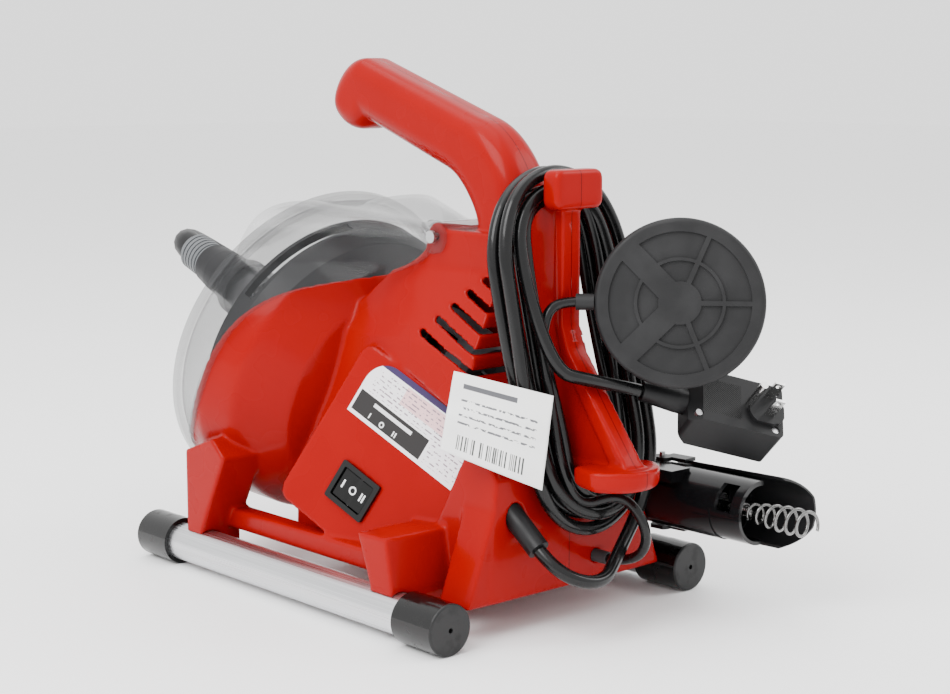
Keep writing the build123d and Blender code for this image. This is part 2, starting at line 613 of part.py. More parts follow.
def plug():
    """Protected plug: two shells, blades, ground pin, buttons, screws and strain relief."""
    length, height, thick = 60, 37, 30
    whole = Pos(0, 0, -thick / 2) * Box(length, height, thick)
    whole = chamfer(whole.edges().filter_by(Axis.Y).sort_by(Axis.X)[:2], 7)
    whole = fillet(whole.edges().filter_by(Axis.Z), 3)
    split = -13
    front = whole & Pos(0, 0, split / 2 + 5) * Box(100, 60, -split + 10)
    back = whole & Pos(0, 0, (split - thick) / 2 - 5) * Box(100, 60, thick + split + 10)
    front -= Pos(0, 0, split) * Box(length - 5, height - 5, 16)
    back -= Pos(0, 0, split) * Box(length - 5, height - 5, 26)
    boss = Pos(18, -2, 1.5) * (Cylinder(12, 3) & Box(23, 20, 3))
    front += boss
    blade_y = 12.7 / 2
    blades = []
    for sy in (1, -1):
        blade = Pos(19, sy * blade_y, 8.5) * Box(6.3, 1.5, 23)
        blade -= Pos(19, sy * blade_y, 17) * Rot(90, 0, 0) * Cylinder(1.5, 6)
        blades.append(PLUG * blade)
        front -= Pos(19, sy * blade_y, 0) * Box(6.32, 1.52, 30)
    blades.append(PLUG * (Pos(7, 0, 13) * Cylinder(2.4, 20) + Pos(7, 0, 0) * Cylinder(2.0, 6)))
    front -= Pos(7, 0, 0) * Cylinder(2.01, 30) + Pos(7, 0, 2) * Cylinder(2.45, 3)
    corners = [(sx * 25, sy * 13.5) for sx in (1, -1) for sy in (1, -1)]
    screws = []
    for cx, cy in corners:
        front -= Pos(cx, cy, 0) * Cylinder(2.6, 8)
        screws.append(PLUG * (Pos(cx, cy, -2.6) * Cylinder(2.2, 2.8)))
    for name, cx in (("plug_test_button", 8), ("plug_reset_button", -6)):
        back -= Pos(cx, 0, -thick) * Box(8.6, 6.6, 12)
        button = Pos(cx, 0, -29.6) * Box(8, 6, 7.8) + Pos(cx, 0, -24.9) * Box(10, 8, 1.6)
        add(name, PLUG * button)
    front -= Pos(-length / 2, 0, -13) * Rot(0, 90, 0) * Cylinder(MAINS_D / 2 + 2, 16)
    back -= Pos(-length / 2, 0, -13) * Rot(0, 90, 0) * Cylinder(MAINS_D / 2 + 2, 16)
    add("plug_front", PLUG * front)
    add("plug_back", PLUG * back)
    add("plug_pins", *blades)
    add("plug_screws", *screws)
    relief = [(0, -24), (6.2, -24), (8, -2), (8, 4), (MAINS_D / 2 + 1.98, 4),
              (MAINS_D / 2 + 1.98, 9), (0, 9)]
    sleeve = Pos(-length / 2 - 4, 0, -13) * Rot(0, 0, -90) * turned(relief)
    add("plug_strain_relief", PLUG * sleeve)


# ---------------------------------------------------------------- cords
HANK = Plane(origin=(-4, 150, 168), x_dir=(1, 0, -0.07), z_dir=(-0.0116, -0.988, -0.165))


def slot_ring(outer_half, inner_half, top_out, top_in, low_out, low_in, thick):
    """Long loop round the post: two nested round-ended outlines, extruded."""
    def outline(half, top, low):
        middle = (top - low) / 2
        return Pos(0, middle) * Rot(0, 0, 90) * SlotOverall(top + low, 2 * half)
    face = outline(outer_half, top_out, low_out) - outline(inner_half, top_in, low_in)
    return HANK * extrude(face, thick / 2, both=True)


def cord_tube(points, diameter, start_dir=None):
    """Round cord along straight runs joined by tangent arcs."""
    radii = []
    for i in range(1, len(points) - 1):
        a, b, c = (Vector(*points[k]) for k in (i - 1, i, i + 1))
        turn = math.radians((b - a).get_angle(c - b))
        radii.append(0.45 * min((b - a).length, (c - b).length) / math.tan(turn / 2))
    path = FilletPolyline(*points, radius=radii)
    first = (Vector(*points[1]) - Vector(*points[0])).normalized()
    section = Plane(origin=points[0], z_dir=first) * Circle(diameter / 2)
    tube = sweep(section, path=path)
    expected = math.pi * diameter ** 2 / 4 * path.length
    print("cord", diameter, "length", round(path.length), "radii", [round(r) for r in radii],
          "volume ratio", round(tube.volume / expected, 3))
    return tube


MAINS_START = [(44.5, 170, 56), (43.5, 181.5, 47), (31.5, 193, 38), (12, 194, 36), (-5, 185, 43),
               (-14, 175, 55)]
MAINS_END = [(43.2, 145.2, 168.5), (30, 166, 162), (10, 176.5, 156), (-8, 180, 151.5),
             (-25.7, 186.5, 146.4)]
AIR_START = [(-24, 162, AIR_Z), (-24, 181, 38.5), (-22, 197, 52), (-18, 196, 71), (-13, 181, 84),
             (-10, 168, 90)]
AIR_END = [(25, 152, 158), (25, 152.5, 172), (24, 151.5, 185), (18.5, 150, 196), (11, 152.5, 200.8),
           (3.8, 159, 201.2)]
HOSE = [from_drum(0, NOSE_END, 0), from_drum(0, NOSE_END - 9, 0), (-6.5, -281.8, 206.6),
        (-17.4, -290.2, 204), (-30.7, -292.9, 197.6), (-45.5, -289.3, 188.1),
        (-62.8, -279.6, 176), (-82, -262.5, 162), (-101.5, -238.5, 146.5), (-117.5, -209, 130),
        (-127, -176, 113), (-129.5, -141, 97), (-128.5, -106, 82), (-124.5, -71, 70),
        (-117, -38, 63), (-106.5, -8, 62), (-96, 18, 64.5), (HEAD_X, HEAD_FRONT - 14, HEAD_Z)]


def cords():
    """Mains cord, air tube and guide hose, the glands and the paper tag."""
    add("mains_hank", slot_ring(54, 33.6, 119, 106, 116, 102.5, 20))
    add("air_hank", slot_ring(33, 20, 105.5, 96, 102, 88, 18))
    add("mains_cord_start", cord_tube(MAINS_START, MAINS_D))
    add("mains_cord_end", cord_tube(MAINS_END, MAINS_D))
    add("air_tube_start", cord_tube(AIR_START, AIR_D))
    add("air_tube_end", cord_tube(AIR_END, AIR_D))
    add("guide_hose", cord_tube(HOSE, HOSE_D))
    add("cord_gland", rod((46, 146, 76), (44.5, 170, 56), 7))
    tag = Plane(origin=(65, 156, 131), x_dir=(-0.64, 0.77, -0.1), z_dir=(0.72, 0.66, 0.2))
    add("cord_tag", tag * Box(62, 58, 1.2))


def main():
    housing()
    housing_screws()
    rails()
    cover()
    nose()
    drum_parts()
    drive()
    switches()
    head()
    pedal()
    plug()
    cords()
    os.makedirs("parts", exist_ok=True)
    for name, shape in NODES.items():
        export_step(shape, f"parts/{name}.step")
    print(len(NODES), "nodes")


main()
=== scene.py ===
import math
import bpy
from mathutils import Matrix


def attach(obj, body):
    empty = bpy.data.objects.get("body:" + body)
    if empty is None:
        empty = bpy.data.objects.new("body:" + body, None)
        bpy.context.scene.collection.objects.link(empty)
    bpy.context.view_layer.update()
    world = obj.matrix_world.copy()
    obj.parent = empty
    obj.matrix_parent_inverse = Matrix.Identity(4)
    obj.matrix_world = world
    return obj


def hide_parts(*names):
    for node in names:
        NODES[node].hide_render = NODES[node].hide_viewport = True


bl_info = {
    "name": "Drain snake machine",
    "version": (1, 0, 0),
    "blender": (4, 5, 0),
    "location": "View3D > Sidebar > Drain snake",
    "description": "Looks of a compact powered drain snake machine on its packed frame",
    "category": "Object",
}

import bmesh
import bpy
import numpy as np
from bpy.props import FloatProperty, FloatVectorProperty, IntProperty, PointerProperty
from mathutils import Matrix, Vector

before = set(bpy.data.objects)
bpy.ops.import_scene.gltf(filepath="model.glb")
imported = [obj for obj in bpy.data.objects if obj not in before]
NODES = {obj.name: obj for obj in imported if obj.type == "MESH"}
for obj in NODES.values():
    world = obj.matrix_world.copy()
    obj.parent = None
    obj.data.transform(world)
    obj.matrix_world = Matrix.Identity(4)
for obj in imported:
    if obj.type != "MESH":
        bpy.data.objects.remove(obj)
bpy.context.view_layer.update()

TILT = math.radians(20.0)
DRUM_BACK_AXIS = np.array((0.0, math.cos(TILT), -math.sin(TILT)))
DRUM_UP_AXIS = np.array((0.0, math.sin(TILT), math.cos(TILT)))
SIDE_AXIS = np.array((1.0, 0.0, 0.0))
RING_CENTRE = np.array((0.0, -0.107, 0.146))


def unit(vector):
    """The vector scaled to length one."""
    vector = np.asarray(vector, dtype=float)
    return vector / np.linalg.norm(vector)


class Plane:
    """Origin and three square axes, from a normal and a rough first axis."""

    def __init__(self, origin, x_dir, z_dir):
        self.origin = np.array(origin, dtype=float)
        self.z = unit(z_dir)
        x = np.array(x_dir, dtype=float)
        self.x = unit(x - x.dot(self.z) * self.z)
        self.y = np.cross(self.z, self.x)

    def at(self, x, y, z=0.0):
        """Machine-frame points for local x, y, z (numbers or arrays)."""
        x, y, z = np.broadcast_arrays(*(np.asarray(v, dtype=float) for v in (x, y, z)))
        return (self.origin + x[..., None] * self.x + y[..., None] * self.y
                + z[..., None] * self.z)


# planes that pieces and prints are laid out on
PAD = Plane((0.078, 0.034, 0.074), (-0.18, 0.88, -0.45), (0.92, 0.3, 0.25))
PLUG = Plane((-0.0704, 0.2251, 0.1395), (-0.822, 0.503, -0.266), (0.232, 0.723, 0.651))
HANK = Plane((-0.004, 0.150, 0.168), (1, 0, -0.07), (-0.0116, -0.988, -0.165))
DRUM_PLANE = Plane(RING_CENTRE, DRUM_BACK_AXIS, SIDE_AXIS)

HEAD_X = -0.090                  # feed head axis, parallel to the rails
HEAD_Z = 0.067
CAP_FACE = (0.1572, 0.1582)      # where the rail caps turn into their end faces, from the middle


# ------------------------------------------------------------------ properties
class ShellProps(bpy.types.PropertyGroup):
    """Moulded red housing."""
    colour: FloatVectorProperty(name="Shell colour", description="Colour of the moulded shell",
                                subtype="COLOR", default=(0.27, 0.0003, 0.0002))
    voxel: FloatProperty(name="Rounding grid", description="Grid that rounds the moulded edges",
                         unit="LENGTH", default=0.0013)
    share: FloatProperty(name="Faces kept", description="Share of the rounded faces that is kept",
                         default=0.5)
    passes: IntProperty(name="Rounding passes", description="Smoothing passes on the edges",
                        default=9)


class CordProps(bpy.types.PropertyGroup):
    """Mains cord, air tube and guide hose."""
    mains: FloatProperty(name="Mains cord", description="Diameter of the mains cord",
                         unit="LENGTH", default=0.0084)
    air: FloatProperty(name="Air tube", description="Diameter of the air tube",
                       unit="LENGTH", default=0.0064)
    hose: FloatProperty(name="Guide hose", description="Diameter of the guide hose",
                        unit="LENGTH", default=0.022)
    mains_length: FloatProperty(name="Mains length", description="Length of the mains cord",
                                unit="LENGTH", default=2.09)
    air_length: FloatProperty(name="Air length", description="Length of the air tube",
                              unit="LENGTH", default=1.56)
    hose_length: FloatProperty(name="Hose length", description="Length of the guide hose",
                               unit="LENGTH", default=0.46)


class CableProps(bpy.types.PropertyGroup):
    """Steel drain cable."""
    thickness: FloatProperty(name="Cable", description="Diameter of the drain cable",
                             unit="LENGTH", default=0.0064)
    wire: FloatProperty(name="Auger wire", description="Diameter of the wire of the auger tip",
                        unit="LENGTH", default=0.0021)


class StageProps(bpy.types.PropertyGroup):
    """Floor and lights."""
    floor: FloatVectorProperty(name="Floor colour", description="Colour of the plain floor",
                               subtype="COLOR", default=(0.97, 0.97, 0.97))
    key: FloatProperty(name="Key light", description="Power of the large soft light",
                       unit="POWER", default=52.0)
    fill: FloatProperty(name="Fill light", description="Power of the second soft light",
                        unit="POWER", default=15.0)
    world: FloatProperty(name="Room light", description="Strength of the even room light",
                         default=1.8)


# ------------------------------------------------------------------ mesh helpers
def put_mesh(name, vertices, faces, material, body, lengths=None):
    """A mesh object from vertex and face arrays, smooth shaded, riding on a body.

    lengths, one number per vertex, becomes the first coordinate of a UV map."""
    mesh = bpy.data.meshes.new(name)
    mesh.from_pydata(np.asarray(vertices).tolist(), [], [list(map(int, f)) for f in faces])
    mesh.update()
    mesh.shade_smooth()
    if lengths is not None:
        layer = mesh.uv_layers.new(name="along")
        corner = np.empty(len(mesh.loops), dtype=np.int32)
        mesh.loops.foreach_get("vertex_index", corner)
        flat = np.zeros((len(corner), 2))
        flat[:, 0] = np.asarray(lengths)[corner]
        layer.data.foreach_set("uv", flat.ravel())
    piece = bpy.data.objects.new(name, mesh)
    bpy.context.scene.collection.objects.link(piece)
    mesh.materials.append(material)
    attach(piece, body)
    return piece


def surface(name, grid, material, body, closed=False, capped=False, lengths=None, flip=False):
    """A surface from a grid of points: rows follow one parameter, columns the other.

    closed joins the last column to the first, and capped closes the first and last rows."""
    rows, columns = grid.shape[:2]
    index = np.arange(rows * columns).reshape(rows, columns)
    if closed:
        index = np.concatenate([index, index[:, :1]], axis=1)
    quads = np.stack([index[:-1, :-1], index[:-1, 1:], index[1:, 1:], index[1:, :-1]], axis=-1)
    faces = quads.reshape(-1, 4).tolist()
    if capped:
        faces += [index[0, :columns][::-1].tolist(), index[-1, :columns].tolist()]
    if flip:
        faces = [face[::-1] for face in faces]
    along = None if lengths is None else np.repeat(lengths, columns)
    return put_mesh(name, grid.reshape(-1, 3), faces, material, body, along)


def wound_tube(centres, outward, sideways, radius, sides):
    """Round tube: each point is its centre plus radius times (cosine of the angle times the
    outward direction plus sine of the angle times the sideways direction)."""
    angle = np.linspace(0.0, 2 * np.pi, sides, endpoint=False)
    radius = np.broadcast_to(radius, centres.shape[:1])[:, None, None]
    ring = (np.cos(angle)[None, :, None] * outward[:, None, :]
            + np.sin(angle)[None, :, None] * sideways[:, None, :])
    return centres[:, None, :] + radius * ring


def turned_surface(name, profile, origin, axis, material, body, sides=64):
    """Surface of revolution: profile rows are (distance along the axis, radius)."""
    axis = unit(axis)
    helper = SIDE_AXIS if abs(axis[0]) < 0.9 else np.array((0.0, 0.0, 1.0))
    first = unit(helper - helper.dot(axis) * axis)
    second = np.cross(axis, first)
    angle = np.linspace(0.0, 2 * np.pi, sides, endpoint=False)
    profile = np.asarray(profile, dtype=float)
    ring = np.cos(angle)[:, None] * first + np.sin(angle)[:, None] * second
    grid = (np.asarray(origin) + profile[:, 0, None, None] * axis
            + profile[:, 1, None, None] * ring[None])
    return surface(name, grid, material, body, closed=True, capped=True)


# ------------------------------------------------------------------ material helpers
class Maker:
    """Builds one material's nodes. Shine is the strength of a non-metal's reflections."""

    def __init__(self, name, colour, roughness, metallic=0.0, coat=0.0, shine=0.22):
        self.material = bpy.data.materials.new(name)
        self.material.use_nodes = True
        self.tree = self.material.node_tree
        self.shader = self.tree.nodes["Principled BSDF"]
        self.shader.inputs["Base Color"].default_value = (*colour, 1.0)
        self.shader.inputs["Roughness"].default_value = roughness
        self.shader.inputs["Metallic"].default_value = metallic
        self.shader.inputs["Coat Weight"].default_value = coat
        self.shader.inputs["Coat Roughness"].default_value = 0.06
        self.shader.inputs["Specular IOR Level"].default_value = 0.5 if metallic else shine
        self.normal = None

    def node(self, kind, **values):
        """A node with its plain properties set."""
        made = self.tree.nodes.new(kind)
        for key, value in values.items():
            setattr(made, key, value)
        return made

    def link(self, start, end):
        """Join two sockets."""
        self.tree.links.new(start, end)

    def place(self):
        """Object coordinates."""
        return self.node("ShaderNodeTexCoord").outputs["Object"]

    def stretched(self, scale, vector=None):
        """Coordinates with a scale of their own along each axis."""
        mapping = self.node("ShaderNodeMapping")
        mapping.inputs["Scale"].default_value = scale
        self.link(vector or self.place(), mapping.inputs["Vector"])
        return mapping.outputs["Vector"]

    def noise(self, scale, detail=3.0, vector=None):
        """Noise value at a scale per metre."""
        texture = self.node("ShaderNodeTexNoise")
        texture.inputs["Scale"].default_value = scale
        texture.inputs["Detail"].default_value = detail
        self.link(vector or self.place(), texture.inputs["Vector"])
        return texture.outputs["Fac"]

    def math(self, operation, first, second=0.0, third=0.0):
        """A math node on sockets or numbers."""
        made = self.node("ShaderNodeMath", operation=operation)
        for socket, value in zip(made.inputs, (first, second, third)):
            if isinstance(value, (int, float)):
                socket.default_value = value
            else:
                self.link(value, socket)
        return made.outputs[0]

    def bump(self, height, strength, distance):
        """Adds relief from a height socket on top of what is there."""
        made = self.node("ShaderNodeBump")
        made.inputs["Strength"].default_value = strength
        made.inputs["Distance"].default_value = distance
        self.link(height, made.inputs["Height"])
        if self.normal is not None:
            self.link(self.normal, made.inputs["Normal"])
        self.normal = made.outputs["Normal"]
        self.link(self.normal, self.shader.inputs["Normal"])

    def spread(self, value, low, high, out_low, out_high):
        """Maps a socket from one range to another, clamped."""
        made = self.node("ShaderNodeMapRange")
        for key, number in (("From Min", low), ("From Max", high), ("To Min", out_low),
                            ("To Max", out_high)):
            made.inputs[key].default_value = number
        self.link(value, made.inputs["Value"])
        return made.outputs["Result"]

    def roughness(self, value, low, high):
        """Roughness that varies with a noise socket."""
        self.link(self.spread(value, 0.3, 0.7, low, high), self.shader.inputs["Roughness"])

    def colour(self, value, first, second):
        """Blend of two colours by a socket, or on top of the last blend where first is None."""
        mix = self.node("ShaderNodeMix", data_type="RGBA")
        before = self.shader.inputs["Base Color"]
        if first is None and before.is_linked:
            self.link(before.links[0].from_socket, mix.inputs["A"])
        else:
            mix.inputs["A"].default_value = (*(first or before.default_value[:3]), 1.0)
        mix.inputs["B"].default_value = (*second, 1.0)
        self.link(value, mix.inputs["Factor"])
        self.link(mix.outputs["Result"], before)

    def flat_place(self, plane):
        """Local first and second coordinate on a plane, as two sockets in metres."""
        shift = self.node("ShaderNodeVectorMath", operation="SUBTRACT")
        self.link(self.place(), shift.inputs[0])
        shift.inputs[1].default_value = plane.origin.tolist()
        found = []
        for axis in (plane.x, plane.y):
            dot = self.node("ShaderNodeVectorMath", operation="DOT_PRODUCT")
            self.link(shift.outputs[0], dot.inputs[0])
            dot.inputs[1].default_value = axis.tolist()
            found.append(dot.outputs["Value"])
        return found

    def within(self, value, low, high):
        """One where the socket lies between two numbers, else zero."""
        middle, half = (low + high) / 2, (high - low) / 2
        return self.math("COMPARE", value, middle, half)

    def patch(self, first, second, limits):
        """One inside a rectangle (low and high of both sockets), else zero."""
        x0, x1, y0, y1 = limits
        return self.math("MULTIPLY", self.within(first, x0, x1), self.within(second, y0, y1))


def finish_node(name, material):
    """Give a CAD node its material."""
    node = NODES[name]
    node.data.materials.clear()
    node.data.materials.append(material)


def moulded_plastic(name, colour, roughness, grain=0.03, coat=0.0):
    """Moulded plastic: fine skin, faint flow marks and a little handling haze."""
    m = Maker(name, colour, roughness, coat=coat)
    cloud = m.noise(28, 2)
    m.roughness(cloud, roughness * 0.85, roughness * 1.2)
    m.colour(m.spread(cloud, 0.3, 0.7, 0, 1), tuple(c * 0.94 for c in colour), colour)
    m.bump(m.noise(1500, 2), grain, 0.0003)
    return m.material


def bare_steel(name, colour, roughness, direction=(40, 40, 900)):
    """Steel with fine lines along one way and small stains."""
    m = Maker(name, colour, roughness, metallic=1.0)
    lines = m.noise(1.0, 3, m.stretched(direction))
    m.roughness(lines, roughness * 0.7, roughness * 1.35)
    m.colour(m.spread(m.noise(60, 3), 0.35, 0.7, 0, 1), tuple(c * 0.8 for c in colour), colour)
    m.bump(lines, 0.05, 0.0002)
    return m.material


def soft_rubber(name, colour, roughness):
    """Rubber: fine dull grain with paler rubbed patches."""
    m = Maker(name, colour, roughness)
    m.roughness(m.noise(90, 4), roughness * 0.8, min(1.0, roughness * 1.25))
    m.colour(m.spread(m.noise(45, 4), 0.42, 0.75, 0, 1), colour,
             tuple(min(1.0, c * 1.35 + 0.004) for c in colour))
    m.bump(m.noise(2200, 2), 0.12, 0.0003)
    return m.material


# ------------------------------------------------------------------ red shell
def shell_material(colour):
    """Glossy red moulding: orange-peel skin, soft flow marks and a fine joint line."""
    m = Maker("red_moulding", colour, 0.26, coat=0.06, shine=0.07)
    cloud = m.noise(22, 2)
    m.roughness(cloud, 0.22, 0.34)
    m.colour(m.spread(cloud, 0.3, 0.7, 0, 1), tuple(c * 0.93 for c in colour), colour)
    split = m.node("ShaderNodeSeparateXYZ")
    m.link(m.place(), split.inputs[0])
    joint = m.within(split.outputs["X"], -0.00028, 0.00028)
    m.colour(joint, None, tuple(c * 0.25 for c in colour))
    m.bump(m.noise(420, 2), 0.035, 0.0004)
    m.bump(m.math("SUBTRACT", 1.0, joint), 0.5, 0.0006)
    return m.material


def merged_copy(*names):
    """One mesh from copies of CAD nodes, with their shared vertices merged and the touching
    faces in the plane between the halves taken out."""
    joined = bmesh.new()
    for name in names:
        joined.from_mesh(NODES[name].data)
    bmesh.ops.remove_doubles(joined, verts=joined.verts, dist=2e-5)
    inner = [f for f in joined.faces if all(abs(v.co.x) < 2e-5 for v in f.verts)]
    bmesh.ops.delete(joined, geom=inner, context="FACES")
    mesh = bpy.data.meshes.new("merged")
    joined.to_mesh(mesh)
    joined.free()
    return mesh


def rounded(mesh, voxel, passes, share):
    """The mesh rebuilt on an even grid and smoothed, so its edges get a moulded radius, and then
    thinned to a share of its faces."""
    holder = bpy.data.objects.new("rounding", mesh)
    bpy.context.scene.collection.objects.link(holder)
    remesh = holder.modifiers.new("grid", "REMESH")
    remesh.mode = "VOXEL"
    remesh.voxel_size = voxel
    smooth = holder.modifiers.new("smooth", "SMOOTH")
    smooth.factor = 0.5
    smooth.iterations = passes
    thin = holder.modifiers.new("thin", "DECIMATE")
    thin.ratio = share
    graph = bpy.context.evaluated_depsgraph_get()
    made = bpy.data.meshes.new_from_object(holder.evaluated_get(graph))
    bpy.data.objects.remove(holder)
    return made


def half_of(mesh, sign, name):
    """The part of a mesh on one side of the plane between the halves."""
    cut = bmesh.new()
    cut.from_mesh(mesh)
    bmesh.ops.bisect_plane(cut, geom=cut.verts[:] + cut.edges[:] + cut.faces[:],
                           plane_co=(0, 0, 0), plane_no=(-sign, 0, 0), clear_outer=True)
    half = bpy.data.meshes.new(name)
    cut.to_mesh(half)
    cut.free()
    half.shade_smooth()
    return half


class SNAKE_OT_shell(bpy.types.Operator):
    """Rounded moulded housing halves in glossy red"""
    bl_idname = "snake.shell"
    bl_label = "Red shell"

    def execute(self, context):
        props = context.scene.snake_shell
        material = shell_material(tuple(props.colour))
        whole = rounded(merged_copy("housing_left", "housing_right"), props.voxel, props.passes,
                        props.share)
        for sign, side in ((1, "left"), (-1, "right")):
            half = half_of(whole, sign, f"shell_{side}")
            half.materials.clear()
            half.materials.append(material)
            piece = bpy.data.objects.new(f"shell_{side}", half)
            context.scene.collection.objects.link(piece)
            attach(piece, "machine")
            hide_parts(f"housing_{side}")
        return {"FINISHED"}


# ------------------------------------------------------------------ clear cover and nose
LIP = (-0.0034, 0.0024)          # band over the cover's lip, measured back from its ring


def clear_material():
    """Clear moulded sheet: see-through face on, smoky at a glancing angle and along its lip."""
    m = Maker("clear_sheet", (0.045, 0.046, 0.048), 0.05, coat=0.25, shine=0.45)
    facing = m.node("ShaderNodeLayerWeight")
    facing.inputs["Blend"].default_value = 0.42
    haze = m.math("MULTIPLY", m.noise(14, 2), 0.03)
    edge = m.math("POWER", facing.outputs["Facing"], 2.4)
    alpha = m.math("ADD", m.math("MULTIPLY_ADD", edge, 0.70, 0.085), haze)
    lip = m.within(m.flat_place(DRUM_PLANE)[0], *LIP)
    alpha = m.math("MAXIMUM", alpha, m.math("MULTIPLY", lip, 0.34))
    m.link(alpha, m.shader.inputs["Alpha"])
    m.roughness(m.noise(35, 3), 0.03, 0.10)
    m.bump(m.noise(50, 2), 0.05, 0.0006)
    return m.material


class SNAKE_OT_cover(bpy.types.Operator):
    """Clear drum cover with its screws"""
    bl_idname = "snake.cover"
    bl_label = "Clear cover"

    def execute(self, context):
        finish_node("drum_cover", clear_material())
        finish_node("cover_screws", bare_steel("screw_steel", (0.6, 0.6, 0.61), 0.3))
        finish_node("housing_screws", bpy.data.materials["screw_steel"])
        return {"FINISHED"}


class SNAKE_OT_nose(bpy.types.Operator):
    """Outlet tube, rubber cuff and ribbed hose end"""
    bl_idname = "snake.nose"
    bl_label = "Nose"

    def execute(self, context):
        finish_node("outlet_tube", bare_steel("tube_steel", (0.16, 0.16, 0.165), 0.3, (60, 60, 60)))
        finish_node("nose_cuff", soft_rubber("cuff_rubber", (0.012, 0.012, 0.013), 0.5))
        finish_node("hose_end", soft_rubber("rib_rubber", (0.10, 0.105, 0.11), 0.4))
        return {"FINISHED"}


# ------------------------------------------------------------------ drum and cable
STRAND = 0.0021                  # pitch of the cable's wire


def cable_material():
    """Wound spring steel: close thread marks along the cable, with painted shade darkening the grooves
    between the wire's turns, oily and uneven.
    """
    m = Maker("cable_steel", (0.45, 0.44, 0.42), 0.36, metallic=1.0)
    uv = m.node("ShaderNodeUVMap", uv_map="along")
    split = m.node("ShaderNodeSeparateXYZ")
    m.link(uv.outputs["UV"], split.inputs[0])
    wave = m.math("SINE", m.math("MULTIPLY", split.outputs["X"], 2 * math.pi / STRAND))
    # painted shade: the colour drops from 0.5 to 0.10 in the troughs of the wave, the grooves between
    # the wire's turns
    m.colour(m.spread(wave, -1.0, -0.2, 0, 1), (0.10, 0.095, 0.09), (0.5, 0.49, 0.47))
    m.roughness(m.noise(120, 3), 0.28, 0.5)
    m.bump(wave, 0.9, 0.0005)
    return m.material


COIL_TURNS = 11
COIL_LAYER = 4                   # turns in a layer
COIL_RADIUS = 0.0905             # outermost turn
COIL_BACK = 0.0215               # first turn, measured back from the cover's ring
COIL_WOBBLE = 0.0008


class SNAKE_OT_drum(bpy.types.Operator):
    """Drum, its wound cable, shaft and bearings"""
    bl_idname = "snake.drum"
    bl_label = "Drum and cable"

    def execute(self, context):
        drum = moulded_plastic("drum_black", (0.010, 0.010, 0.011), 0.42, 0.08)
        for name in ("drum_shell", "guide_cone"):
            finish_node(name, drum)
        steel = bare_steel("shaft_steel", (0.55, 0.55, 0.56), 0.3)
        for name in ("drum_shaft", "front_bearing", "rear_bearing"):
            finish_node(name, steel)
        self.wind(context.scene.snake_cable.thickness)
        return {"FINISHED"}

    def wind(self, thickness):
        """Three layers of turns: the radius steps in by one cable for each layer while the
        distance back along the axis runs to and fro, one cable for each turn."""
        t = np.linspace(0.0, COIL_TURNS, COIL_TURNS * 64)
        layer = np.floor(t / COIL_LAYER)
        step = t / COIL_LAYER - layer
        sweep = np.where(layer % 2 == 0, step, 1 - step)
        pitch = 0.9 * thickness
        radius = COIL_RADIUS - layer * pitch
        back = COIL_BACK + sweep * COIL_LAYER * pitch + COIL_WOBBLE * np.sin(7 * t)
        angle = 2 * np.pi * t
        outward = (np.cos(angle)[:, None] * SIDE_AXIS + np.sin(angle)[:, None] * DRUM_UP_AXIS)
        centres = RING_CENTRE + back[:, None] * DRUM_BACK_AXIS + radius[:, None] * outward
        sideways = np.broadcast_to(DRUM_BACK_AXIS, outward.shape)
        grid = wound_tube(centres, outward, sideways, thickness / 2, 10)
        run = np.concatenate([[0.0], np.cumsum(np.linalg.norm(np.diff(centres, axis=0), axis=1))])
        coil = surface("wound_cable", grid, cable_material(), "drum", closed=True, capped=True,
                       lengths=run, flip=True)
        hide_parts("cable_coil")


class SNAKE_OT_drive(bpy.types.Operator):
    """Gears, motor and fan behind the drum"""
    bl_idname = "snake.drive"
    bl_label = "Drive"

    def execute(self, context):
        finish_node("gear_plate", moulded_plastic("plate_grey", (0.16, 0.16, 0.17), 0.5, 0.1))
        finish_node("drum_gear", moulded_plastic("nylon", (0.75, 0.73, 0.66), 0.45))
        finish_node("motor_pinion", bare_steel("pinion_steel", (0.45, 0.45, 0.46), 0.35))
        finish_node("armature", bpy.data.materials["pinion_steel"])
        finish_node("motor_can", moulded_plastic("can_paint", (0.10, 0.10, 0.11), 0.35, 0.02))
        finish_node("motor_fan", moulded_plastic("fan_black", (0.04, 0.04, 0.042), 0.5))
        finish_node("air_switch", bpy.data.materials["fan_black"])
        return {"FINISHED"}


# ------------------------------------------------------------------ rails
def rail_material():
    """Brushed aluminium tube: lines run along the tube."""
    m = Maker("brushed_aluminium", (0.60, 0.605, 0.62), 0.3, metallic=1.0)
    lines = m.noise(1.0, 4, m.stretched((1800, 6, 1800)))
    m.roughness(lines, 0.22, 0.42)
    m.colour(m.spread(lines, 0.3, 0.7, 0, 1), (0.54, 0.545, 0.56), (0.70, 0.705, 0.72))
    m.bump(lines, 0.08, 0.0002)
    return m.material


def cap_material():
    """Polished black rubber with a dull end and a few scuffs."""
    m = Maker("cap_rubber", (0.004, 0.004, 0.004), 0.14, coat=0.25)
    split = m.node("ShaderNodeSeparateXYZ")
    m.link(m.place(), split.inputs[0])
    distance = m.math("ABSOLUTE", split.outputs["Y"])
    face = m.spread(distance, *CAP_FACE, 0, 1)
    scuffs = m.spread(m.noise(140, 5), 0.5, 0.75, 0, 0.35)
    rough = m.math("ADD", m.math("MULTIPLY_ADD", face, 0.42, 0.13), scuffs)
    m.link(rough, m.shader.inputs["Roughness"])
    m.colour(face, (0.003, 0.003, 0.003), (0.008, 0.008, 0.0083))
    m.bump(m.noise(900, 3), 0.05, 0.0003)
    return m.material


class SNAKE_OT_rails(bpy.types.Operator):
    """Rail tubes, end caps and leg screws"""
    bl_idname = "snake.rails"
    bl_label = "Rails"

    def execute(self, context):
        aluminium = rail_material()
        for name in ("rail_left", "rail_right"):
            finish_node(name, aluminium)
        finish_node("rail_caps", cap_material())
        finish_node("rail_screws", bpy.data.materials["screw_steel"])
        return {"FINISHED"}


